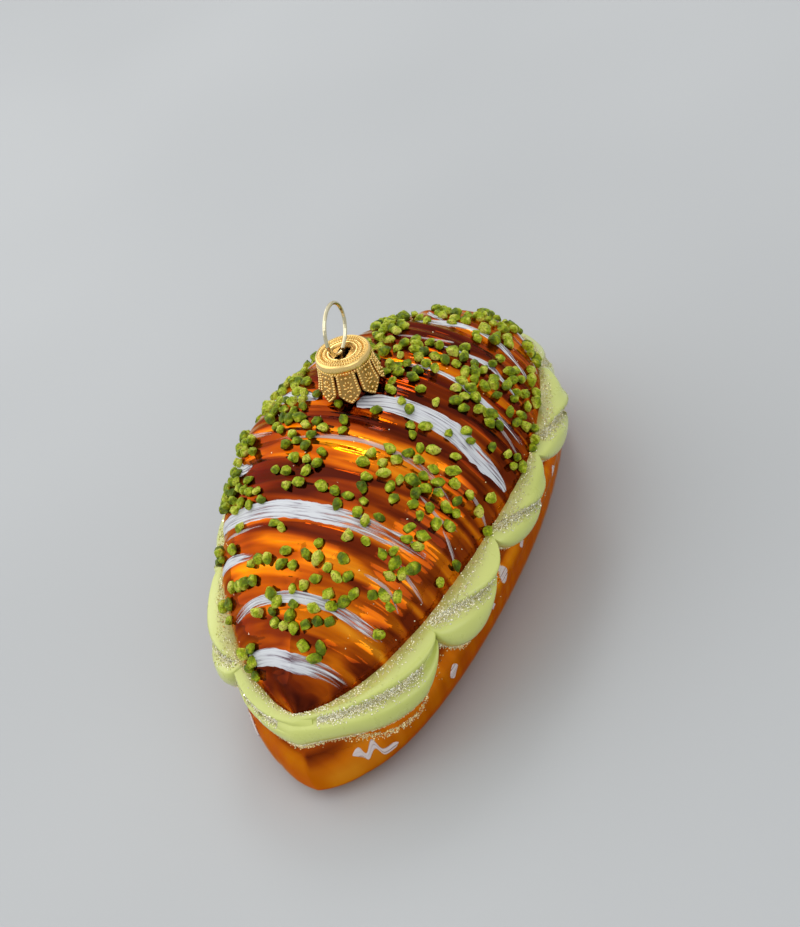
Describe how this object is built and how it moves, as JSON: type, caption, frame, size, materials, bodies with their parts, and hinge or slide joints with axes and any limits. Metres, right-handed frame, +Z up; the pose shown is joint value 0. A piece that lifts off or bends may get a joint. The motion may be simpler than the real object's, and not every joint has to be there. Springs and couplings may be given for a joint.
{
  "type": "glass croissant ornament",
  "caption": "Blown-glass hanging ornament shaped like a croissant with piped cream, nut crumbs and white icing streaks on its amber crust, under a crimped gold cap with a wire ring.",
  "frame": {"origin": "middle of the flat spot under the body, below the centre of the plan", "axes": "+Z up from the flat spot through the cap, +Y along the croissant, +X across it"},
  "size_m": [0.0704, 0.1182, 0.0651],
  "materials": {
    "amber_glass": "silvered blown glass under clear amber to maroon lacquer, high gloss",
    "cream_lacquer": "opaque pale pistachio lacquer on the glass, satin gloss",
    "white_lacquer": "brushed white lacquer, half gloss, dry-brushed at the ends",
    "nut_crumbs": "dyed green grit, dull, in irregular rounded chips",
    "glitter": "champagne glitter flakes",
    "gold_cap": "thin stamped gold-coloured metal with beads",
    "gold_wire": "bright pale gold spring wire"
  },
  "bodies": {
    "root": {"glass_body": "amber_glass", "hanger_cap": "gold_cap", "hanger_ring": "gold_wire"}
  },
  "joints": []
}
